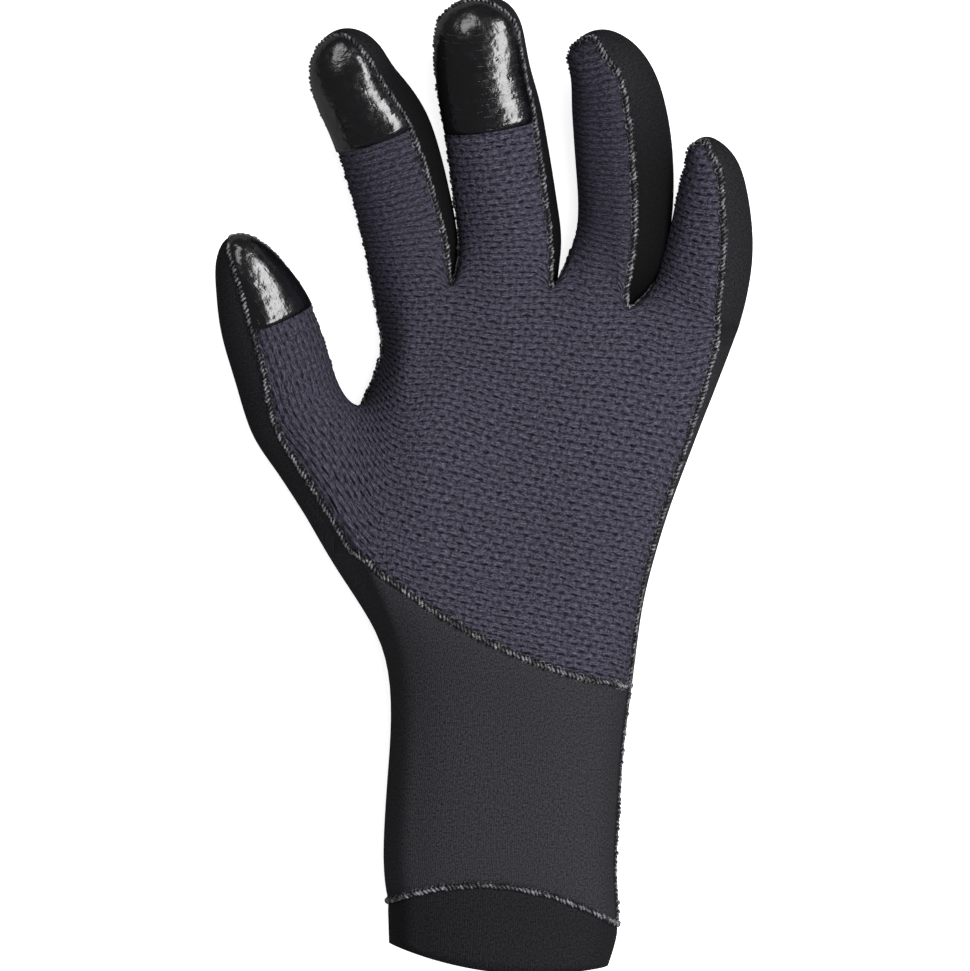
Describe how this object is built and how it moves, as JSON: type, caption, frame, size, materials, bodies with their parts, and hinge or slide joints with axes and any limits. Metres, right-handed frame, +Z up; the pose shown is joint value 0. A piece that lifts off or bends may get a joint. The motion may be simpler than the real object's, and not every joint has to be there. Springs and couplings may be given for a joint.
{
  "type": "diving glove",
  "caption": "Preformed left-hand diving glove of neoprene with a knitted palm, glossy fingertip patches, raised seams and a long cuff.",
  "frame": {"origin": "centre of the footprint, on the surface the glove lies on", "axes": "+Y along the hand from the cuff to the fingertips, +X across it away from the thumb, +Z up out of the palm"},
  "size_m": [0.1604, 0.2926, 0.0431],
  "materials": {
    "palm_knit": "brick-like grip knit, matt",
    "neoprene": "smooth jersey on foam, matt",
    "seam_thread": "overlock thread, slight sheen",
    "gloss_coating": "wet-looking gloss"
  },
  "bodies": {
    "root": {"palm_panel": "palm_knit", "back_panel": "neoprene", "cuff_band": "neoprene", "index_fingertip_patch": "gloss_coating", "middle_fingertip_patch": "gloss_coating", "thumb_fingertip_patch": "gloss_coating", "panel_seam": "seam_thread", "side_seam": "seam_thread", "hem_seam": "seam_thread"}
  },
  "joints": []
}
